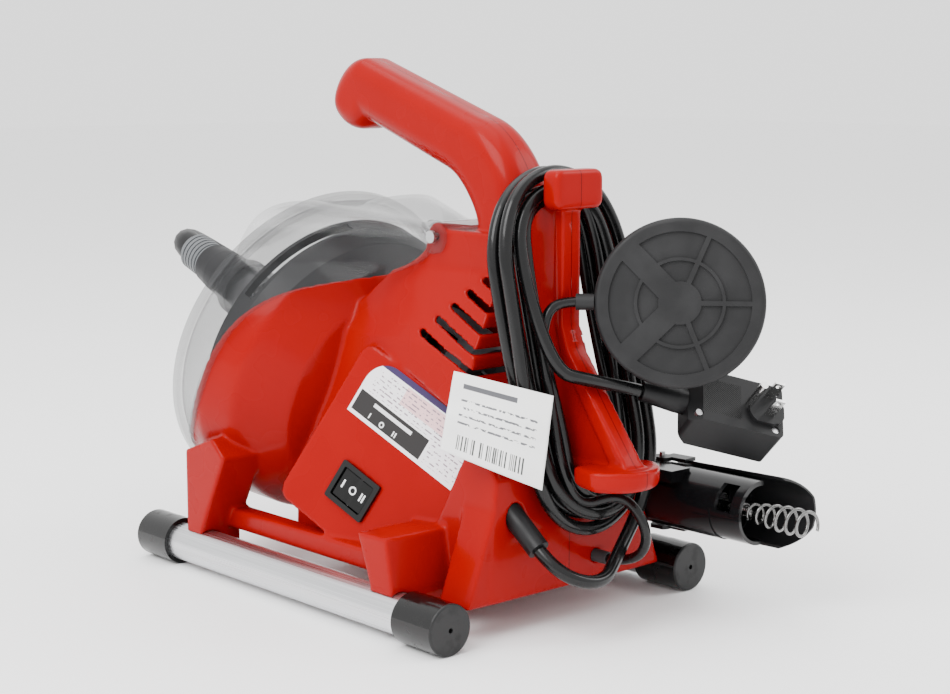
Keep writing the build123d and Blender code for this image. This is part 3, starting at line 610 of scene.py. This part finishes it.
# ------------------------------------------------------------------ switch and label
def distance_of(m, u, v):
    """Length of the two coordinates u and v taken together."""
    return m.math("SQRT", m.math("ADD", m.math("MULTIPLY", u, u), m.math("MULTIPLY", v, v)))


def rocker_material():
    """Glossy rocker with white I, O and II marks."""
    m = Maker("rocker_black", (0.004, 0.004, 0.004), 0.16, coat=0.1)
    u, v = m.flat_place(PAD)
    marks = m.patch(u, v, (-0.0094, -0.0080, -0.0028, 0.0028))
    for x in (0.0074, 0.0096):
        bar = m.patch(u, v, (x - 0.0006, x + 0.0006, -0.0028, 0.0028))
        marks = m.math("MAXIMUM", marks, bar)
    marks = m.math("MAXIMUM", marks, m.within(distance_of(m, u, v), 0.0018, 0.0028))
    m.colour(marks, (0.004, 0.004, 0.004), (0.8, 0.8, 0.8))
    m.bump(m.noise(700, 2), 0.03, 0.0002)
    return m.material


# the label's printed areas on the switch panel: low and high along it, low and high up it
LABEL_UPPER = (-0.028, 0.052, 0.0585, 0.0745)
LABEL_LOWER = (0.031, 0.058, 0.043, 0.0585)
LABEL_PINK = (-0.004, 0.059, 0.0640, 0.0760)
LABEL_STRIP = (-0.034, 0.061, 0.0770, 0.0815)
LABEL_PANEL = (-0.0330, 0.0285, 0.0425, 0.0570)
LABEL_TITLE = (-0.0190, 0.0150, 0.0520, 0.0545)
LABEL_ROW = 0.0026               # pitch of the rows of strokes
LABEL_BARS = (-0.0180, 0.0035, 0.0055)       # middles of the three upright marks
LABEL_RING = (-0.0070, 0.0457)   # middle of the round mark


def label_material():
    """Printed label: white field, dark panel, violet strip and rows of neutral strokes."""
    m = Maker("printed_label", (0.85, 0.82, 0.84), 0.32, coat=0.15)
    u, v = m.flat_place(PAD)
    rows = m.math("FRACT", m.math("MULTIPLY", v, 1 / LABEL_ROW))
    words = m.noise(1.0, 1, m.stretched((420, 420, 420)))
    strokes = m.math("MULTIPLY", m.within(rows, 0.3, 0.62), m.spread(words, 0.50, 0.53, 0, 1))
    print_area = m.math("MAXIMUM", m.patch(u, v, LABEL_UPPER), m.patch(u, v, LABEL_LOWER))
    m.colour(m.patch(u, v, LABEL_PINK), (0.86, 0.84, 0.86), (0.80, 0.52, 0.53))
    m.colour(m.math("MULTIPLY", strokes, print_area), None, (0.22, 0.16, 0.20))
    m.colour(m.patch(u, v, LABEL_STRIP), None, (0.035, 0.02, 0.075))
    m.colour(m.patch(u, v, LABEL_PANEL), None, (0.020, 0.018, 0.018))
    for x in LABEL_BARS:
        bar = m.patch(u, v, (x - 0.0005, x + 0.0005, 0.0440, 0.0475))
        m.colour(bar, None, (0.8, 0.8, 0.8))
    x, y = LABEL_RING
    across, along = m.math("SUBTRACT", u, x), m.math("SUBTRACT", v, y)
    m.colour(m.within(distance_of(m, across, along), 0.0011, 0.0020), None, (0.8, 0.8, 0.8))
    m.colour(m.patch(u, v, LABEL_TITLE), None, (0.75, 0.75, 0.76))
    m.bump(m.noise(700, 2), 0.02, 0.0002)
    return m.material


class SNAKE_OT_switches(bpy.types.Operator):
    """Rocker switch and printed label"""
    bl_idname = "snake.switches"
    bl_label = "Switch and label"

    def execute(self, context):
        finish_node("switch_body", moulded_plastic("bezel_black", (0.005, 0.005, 0.005), 0.22,
                                                   coat=0.2))
        finish_node("switch_rocker", rocker_material())
        finish_node("switch_pin", bpy.data.materials["screw_steel"])
        finish_node("mode_label", label_material())
        return {"FINISHED"}


# ------------------------------------------------------------------ tag
def tag_material():
    """Coated white card with rows of neutral strokes and a stripe block."""
    m = Maker("tag_card", (0.88, 0.88, 0.87), 0.38, coat=0.1)
    uv = m.node("ShaderNodeUVMap", uv_map="card")
    split = m.node("ShaderNodeSeparateXYZ")
    m.link(uv.outputs["UV"], split.inputs[0])
    u, v = split.outputs["X"], split.outputs["Y"]
    rows = m.math("FRACT", m.math("MULTIPLY", v, 11.0))
    words = m.noise(26, 1, uv.outputs["UV"])
    strokes = m.math("MULTIPLY", m.within(rows, 0.35, 0.62), m.spread(words, 0.46, 0.49, 0, 1))
    m.colour(m.math("MULTIPLY", strokes, m.patch(u, v, (0.12, 0.88, 0.36, 0.74))),
             (0.88, 0.88, 0.87), (0.12, 0.12, 0.13))
    stripes = m.spread(m.noise(60, 0, m.stretched((1.0, 0.0, 1.0), uv.outputs["UV"])), 0.5, 0.52, 0, 1)
    m.colour(m.math("MULTIPLY", stripes, m.patch(u, v, (0.14, 0.80, 0.08, 0.26))), None,
             (0.05, 0.05, 0.05))
    m.colour(m.patch(u, v, (0.12, 0.66, 0.82, 0.88)), None, (0.10, 0.10, 0.11))
    m.bump(m.noise(70, 3), 0.12, 0.0008)
    return m.material


TAG_ROWS, TAG_COLUMNS = 36, 40
TAG_THICK = 0.0006
TAG_CORNERS = ((0.074, 0.127, 0.1625), (0.036, 0.173, 0.149),
               (0.048, 0.176, 0.094), (0.086, 0.128, 0.1165))


class SNAKE_OT_tag(bpy.types.Operator):
    """White card tag on the cord"""
    bl_idname = "snake.tag"
    bl_label = "Cord tag"

    def execute(self, context):
        s = np.linspace(0, 1, TAG_COLUMNS)[None, :]
        t = np.linspace(0, 1, TAG_ROWS)[:, None]
        corners = [np.array(corner) for corner in TAG_CORNERS]
        top = corners[0] + s[..., None] * (corners[1] - corners[0])
        low = corners[3] + s[..., None] * (corners[2] - corners[3])
        grid = top + t[..., None] * (low - top)
        normal = unit(np.cross(corners[1] - corners[0], corners[0] - corners[3]))
        swell = (0.0040 * np.sin(np.pi * s) * (0.4 + 0.6 * np.sin(np.pi * t))
                 + 0.0011 * np.sin(9.0 * s + 2.0) * t + 0.0007 * np.sin(13 * t + 4 * s))
        grid = grid + swell[..., None] * normal
        index = np.arange(TAG_ROWS * TAG_COLUMNS).reshape(TAG_ROWS, TAG_COLUMNS)
        quads = np.stack([index[:-1, :-1], index[1:, :-1], index[1:, 1:], index[:-1, 1:]], -1)
        tag = put_mesh("card_tag", grid.reshape(-1, 3), quads.reshape(-1, 4), tag_material(),
                       "machine")
        layer = tag.data.uv_layers.new(name="card")
        corner = np.empty(len(tag.data.loops), dtype=np.int32)
        tag.data.loops.foreach_get("vertex_index", corner)
        flat = np.stack(np.broadcast_arrays(s, 1 - t), axis=-1).reshape(-1, 2)[corner]
        layer.data.foreach_set("uv", flat.ravel())
        solid = tag.modifiers.new("card", "SOLIDIFY")
        solid.thickness = TAG_THICK
        solid.offset = 0.0
        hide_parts("cord_tag")
        return {"FINISHED"}


# ------------------------------------------------------------------ feed head
AUGER_TURNS = 6.6
AUGER_RADIUS = 0.0036            # first turn of the wire
AUGER_SWELL = 0.0044             # how far the radius grows
AUGER_START = 0.214              # along the feed head
AUGER_LENGTH = 0.054
CORE_START = 0.160
CORE_LENGTH = 0.062


class SNAKE_OT_head(bpy.types.Operator):
    """Feed head, squeeze lever, rollers and auger tip"""
    bl_idname = "snake.head"
    bl_label = "Feed head"

    def execute(self, context):
        gloss = moulded_plastic("head_black", (0.004, 0.004, 0.0045), 0.2, 0.02, coat=0.22)
        for name in ("head_body", "hose_collar", "head_clip"):
            finish_node(name, gloss)
        finish_node("squeeze_lever", moulded_plastic("lever_black", (0.005, 0.005, 0.0055), 0.38, 0.06))
        for name in ("feed_roller_1", "feed_roller_2", "feed_roller_3", "head_pins"):
            finish_node(name, bare_steel(name + "_steel", (0.5, 0.5, 0.5), 0.3))
        self.auger(context.scene.snake_cable)
        return {"FINISHED"}

    def auger(self, props):
        """Straight ridged cable, then an open helix: the distance along the axis grows evenly
        with the angle, while the radius grows by the swell times a quarter sine, to its widest
        at 0.78 of the length, and draws in a little after that."""
        t = np.linspace(0.0, 1.0, 560)
        angle = 2 * np.pi * AUGER_TURNS * t
        swell = np.sin(0.5 * np.pi * np.clip(t / 0.78, 0, 1.25))
        radius = AUGER_RADIUS + AUGER_SWELL * swell
        y = AUGER_START + AUGER_LENGTH * t
        outward = np.stack([np.cos(angle), np.zeros_like(t), np.sin(angle)], axis=1)
        centres = np.stack([np.full_like(t, HEAD_X), y, np.full_like(t, HEAD_Z)], axis=1)
        centres = centres + radius[:, None] * outward
        sideways = np.broadcast_to(np.array((0.0, 1.0, 0.0)), outward.shape)
        grid = wound_tube(centres, outward, sideways, props.wire / 2, 10)
        steel = bare_steel("auger_steel", (0.20, 0.198, 0.195), 0.24, (300, 300, 300))
        tip = surface("auger_tip", grid, steel, "cable_end", closed=True, capped=True, flip=True)
        t = np.linspace(0.0, 1.0, 120)
        thread = props.thickness / 2 + 0.00025 * np.sin(2 * np.pi * 40 * t)
        profile = np.stack([CORE_LENGTH * t, thread], axis=1)
        core = turned_surface("auger_core", profile, (HEAD_X, CORE_START, HEAD_Z), (0, 1, 0),
                              steel, "cable_end", sides=24)
        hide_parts("cable_tip")


# ------------------------------------------------------------------ pedal and plug
class SNAKE_OT_pedal(bpy.types.Operator):
    """Air pedal in dark rubber"""
    bl_idname = "snake.pedal"
    bl_label = "Air pedal"

    def execute(self, context):
        rubber = soft_rubber("pedal_rubber", (0.011, 0.011, 0.0115), 0.5)
        for name in ("pedal_base", "pedal_top", "pedal_bellows", "pedal_ferrule"):
            finish_node(name, rubber)
        return {"FINISHED"}


def plug_material():
    """Dark grey plug with a knurled patch on its face."""
    m = Maker("plug_grey", (0.009, 0.009, 0.0095), 0.42)
    u, v = m.flat_place(PLUG)
    patch = m.patch(u, v, (-0.022, 0.002, -0.012, 0.012))
    ridges = m.math("SINE", m.math("MULTIPLY", m.math("ADD", u, v), 4200))
    m.bump(m.noise(1300, 2), 0.06, 0.0003)
    m.bump(m.math("MULTIPLY", ridges, patch), 0.6, 0.0003)
    m.colour(patch, (0.009, 0.009, 0.0095), (0.006, 0.006, 0.0062))
    return m.material


class SNAKE_OT_plug(bpy.types.Operator):
    """Protected mains plug"""
    bl_idname = "snake.plug"
    bl_label = "Plug"

    def execute(self, context):
        grey = plug_material()
        for name in ("plug_front", "plug_back"):
            finish_node(name, grey)
        finish_node("plug_pins", bare_steel("pin_nickel", (0.75, 0.75, 0.74), 0.14))
        finish_node("plug_screws", bpy.data.materials["screw_steel"])
        finish_node("plug_strain_relief", soft_rubber("relief_rubber", (0.006, 0.006, 0.0065), 0.4))
        finish_node("plug_test_button", moulded_plastic("button_black", (0.02, 0.02, 0.02), 0.35))
        finish_node("plug_reset_button", moulded_plastic("button_red", (0.45, 0.02, 0.02), 0.35))
        finish_node("cord_gland", bpy.data.materials["relief_rubber"])
        return {"FINISHED"}


# ------------------------------------------------------------------ cords
# control points of the hose and of the runs outside the wound loops, in millimetres
MAINS_START = [(44.5, 170, 56), (43.5, 181.5, 47), (31.5, 193, 38), (12, 194, 36), (-5, 185, 43)]
MAINS_END = [(30, 166, 162), (10, 176.5, 156), (-8, 180, 151.5), (-25.7, 186.5, 146.4)]
AIR_START = [(-24, 162, 37), (-24, 181, 38.5), (-22, 197, 52), (-18, 196, 71), (-13, 181, 84)]
AIR_END = [(25, 152.5, 172), (24, 151.5, 185), (18.5, 150, 196), (11, 152.5, 200.8),
           (3.8, 159, 201.2)]
HOSE = [(0, -261.0, 202.1), (0, -269.5, 205.1), (-6.5, -281.8, 206.6), (-17.4, -290.2, 204),
        (-30.7, -292.9, 197.6), (-45.5, -289.3, 188.1), (-62.8, -279.6, 176), (-82, -262.5, 162),
        (-101.5, -238.5, 146.5), (-117.5, -209, 130), (-127, -176, 113), (-129.5, -141, 97),
        (-128.5, -106, 82), (-124.5, -71, 70), (-117, -38, 63), (-106.5, -8, 62),
        (-96, 18, 64.5), (-90, 44, 67)]


# seats of the wound turns: half width of the loop, depth off the loops' plane
MAINS_SEATS = [(0.0490, -0.0052), (0.0490, 0.0052), (0.0388, 0.0052), (0.0388, -0.0052),
               (0.0480, 0.0000)]
AIR_SEATS = [(0.0295, -0.0042), (0.0295, 0.0042), (0.0232, 0.0042), (0.0232, -0.0042),
             (0.0290, -0.0042)]
POINTS_PER_TURN = 16


def cord_curve(name, points, diameter, material):
    """Round cord on one smooth spline through the route's control points."""
    curve = bpy.data.curves.new(name, "CURVE")
    curve.dimensions = "3D"
    curve.bevel_depth = diameter / 2
    curve.bevel_resolution = 5
    curve.use_fill_caps = True
    curve.resolution_u = 8
    spline = curve.splines.new("NURBS")
    spline.points.add(len(points) - 1)
    spline.points.foreach_set("co", np.column_stack([points, np.ones(len(points))]).ravel())
    spline.order_u = 3
    spline.use_endpoint_u = True
    curve.materials.append(material)
    piece = bpy.data.objects.new(name, curve)
    bpy.context.scene.collection.objects.link(piece)
    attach(piece, "machine")
    return piece


def stadium(turn, half, top, low):
    """Points of a long loop with half-round ends, by the share of its length from the bottom
    centre, anticlockwise; half is half its width, top and low its reach up and down."""
    straight = top + low - 2 * half
    arc = math.pi * half
    length = 2 * straight + 2 * arc
    s = np.mod(turn, 1.0) * length
    low_centre, top_centre = -low + half, top - half
    a0 = s / half
    a1 = (s - arc / 2 - straight) / half
    a2 = (s - 1.5 * arc - 2 * straight) / half
    cases = [s < arc / 2, s < arc / 2 + straight, s < 1.5 * arc + straight,
             s < 1.5 * arc + 2 * straight]
    x = np.select(cases, [half * np.sin(a0), half, half * np.cos(a1), -half],
                  -half * np.cos(a2))
    y = np.select(cases, [low_centre - half * np.cos(a0), low_centre + s - arc / 2,
                          top_centre + half * np.sin(a1),
                          top_centre - (s - 1.5 * arc - straight)],
                  low_centre - half * np.sin(a2))
    return x, y


def hank_points(turns, start, way, seats, spread, loose):
    """Control points of a wound loop, from one turn count to another: every turn has a seat,
    and the cord moves from one seat to the next over the last part of each turn. Spread is how
    far the loop's ends reach past its half width, and loose is how uneven the turns are."""
    t = np.linspace(start, turns, int(round((turns - start) * POINTS_PER_TURN)) + 1)
    seats = np.array(seats)
    count = np.arange(len(seats))
    eased = np.floor(t) + np.clip((np.mod(t, 1.0) - 0.72) / 0.28, 0, 1)
    half = np.interp(eased, count, seats[:, 0])
    depth = np.interp(eased, count, seats[:, 1])
    top = half + spread[0] + loose * np.sin(2.1 * np.floor(t + 0.5))
    low = half + spread[1] + loose * np.cos(1.7 * np.floor(t + 0.5))
    half = half + 0.5 * loose * np.sin(5 * t)
    x, y = stadium(way * t, half, top, low)
    return HANK.at(x, y, depth)


class SNAKE_OT_cords(bpy.types.Operator):
    """Mains cord, air tube and guide hose"""
    bl_idname = "snake.cords"
    bl_label = "Cords"

    def execute(self, context):
        props = context.scene.snake_cords
        black = Maker("cord_black", (0.003, 0.003, 0.0032), 0.2, coat=0.15)
        black.roughness(black.noise(110, 3), 0.16, 0.34)
        black.bump(black.noise(260, 3), 0.05, 0.0004)
        mm = 0.001
        wound = hank_points(3.62, 0.06, -1, MAINS_SEATS, (0.0655, 0.0635), 0.0012)
        route = np.concatenate([np.array(MAINS_START) * mm, wound, np.array(MAINS_END) * mm])
        mains = cord_curve("mains_cord", route, props.mains, black.material)
        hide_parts("mains_hank", "mains_cord_start", "mains_cord_end")
        wound = hank_points(3.14, 0.05, 1, AIR_SEATS, (0.0755, 0.0710), 0.0010)
        route = np.concatenate([np.array(AIR_START) * mm, wound, np.array(AIR_END) * mm])
        air = cord_curve("air_tube", route, props.air, black.material)
        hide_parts("air_hank", "air_tube_start", "air_tube_end")
        route = np.array(HOSE) * mm
        hose = cord_curve("guide_hose_tube", route, props.hose,
                          soft_rubber("hose_black", (0.006, 0.006, 0.0065), 0.4))
        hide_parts("guide_hose")
        return {"FINISHED"}


# ------------------------------------------------------------------ stage
FLOOR_HALF = 9.0
LIGHT_AIM = 0.14                 # height that the lights are aimed at
CAMERA_PLACE = (0.790748, 0.944637, 0.340218)
CAMERA_YAW = -2.302              # radians, from the X axis
CAMERA_PITCH = -0.149
CAMERA_LENS = 70.03


class SNAKE_OT_stage(bpy.types.Operator):
    """Floor, soft lights and camera"""
    bl_idname = "snake.stage"
    bl_label = "Stage"

    def execute(self, context):
        props = context.scene.snake_stage
        mesh = bpy.data.meshes.new("floor")
        half = FLOOR_HALF
        mesh.from_pydata([(-half, -half, 0), (half, -half, 0), (half, half, 0),
                          (-half, half, 0)], [], [(0, 1, 2, 3)])
        floor = bpy.data.objects.new("floor", mesh)
        context.scene.collection.objects.link(floor)
        paper = Maker("floor_paper", tuple(props.floor), 0.55)
        paper.roughness(paper.noise(3, 2), 0.5, 0.65)
        mesh.materials.append(paper.material)
        world = bpy.data.worlds.new("room")
        context.scene.world = world
        world.use_nodes = True
        back = world.node_tree.nodes["Background"]
        back.inputs["Color"].default_value = (1.0, 1.0, 1.0, 1.0)
        back.inputs["Strength"].default_value = props.world
        self.light("key", (1.5, 0.2, 1.7), 1.3, props.key)
        self.light("back", (-1.4, 0.9, 1.3), 1.0, props.fill)
        self.light("top", (0.1, -0.2, 2.1), 1.6, props.fill * 1.3)
        self.camera(context)
        return {"FINISHED"}

    def light(self, name, place, size, power):
        """Square area light aimed at the machine's middle."""
        lamp = bpy.data.lights.new(name, "AREA")
        lamp.size = size
        lamp.energy = power
        holder = bpy.data.objects.new(name, lamp)
        aim = Vector((0, 0, LIGHT_AIM)) - Vector(place)
        holder.matrix_world = (Matrix.Translation(Vector(place))
                               @ aim.to_track_quat("-Z", "Y").to_matrix().to_4x4())
        bpy.context.scene.collection.objects.link(holder)

    def camera(self, context):
        """Camera behind the machine on the switch side, a little above it."""
        camera = bpy.data.cameras.new("view")
        camera.lens = CAMERA_LENS
        camera.sensor_width = 36.0
        holder = bpy.data.objects.new("view", camera)
        level = math.cos(CAMERA_PITCH)
        ahead = Vector((level * math.cos(CAMERA_YAW), level * math.sin(CAMERA_YAW),
                        math.sin(CAMERA_PITCH)))
        holder.matrix_world = (Matrix.Translation(Vector(CAMERA_PLACE))
                               @ ahead.to_track_quat("-Z", "Y").to_matrix().to_4x4())
        context.scene.collection.objects.link(holder)
        context.scene.camera = holder


# ------------------------------------------------------------------ panel and registration
OPERATORS = (SNAKE_OT_stage, SNAKE_OT_tag, SNAKE_OT_cords, SNAKE_OT_shell, SNAKE_OT_cover,
             SNAKE_OT_nose, SNAKE_OT_drum, SNAKE_OT_drive, SNAKE_OT_rails, SNAKE_OT_switches,
             SNAKE_OT_head, SNAKE_OT_pedal, SNAKE_OT_plug)
PROPERTIES = {"snake_shell": ShellProps, "snake_cords": CordProps, "snake_cable": CableProps,
              "snake_stage": StageProps}


class SNAKE_PT_panel(bpy.types.Panel):
    """Lists the pieces of the machine"""
    bl_idname = "SNAKE_PT_panel"
    bl_label = "Drain snake machine"
    bl_space_type = "VIEW_3D"
    bl_region_type = "UI"
    bl_category = "Drain snake"

    def draw(self, context):
        for operator in OPERATORS:
            self.layout.operator(operator.bl_idname)
        for key, group in PROPERTIES.items():
            box = self.layout.box()
            for name in group.__annotations__:
                box.prop(getattr(context.scene, key), name)


def register():
    for group in PROPERTIES.values():
        bpy.utils.register_class(group)
    for operator in OPERATORS:
        bpy.utils.register_class(operator)
    bpy.utils.register_class(SNAKE_PT_panel)
    for key, group in PROPERTIES.items():
        setattr(bpy.types.Scene, key, PointerProperty(type=group))


def unregister():
    for key in PROPERTIES:
        delattr(bpy.types.Scene, key)
    bpy.utils.unregister_class(SNAKE_PT_panel)
    for operator in reversed(OPERATORS):
        bpy.utils.unregister_class(operator)
    for group in PROPERTIES.values():
        bpy.utils.unregister_class(group)


def main():
    register()
    for operator in OPERATORS:
        group, name = operator.bl_idname.split(".")
        getattr(getattr(bpy.ops, group), name)()


if __name__ == "__main__":
    main()
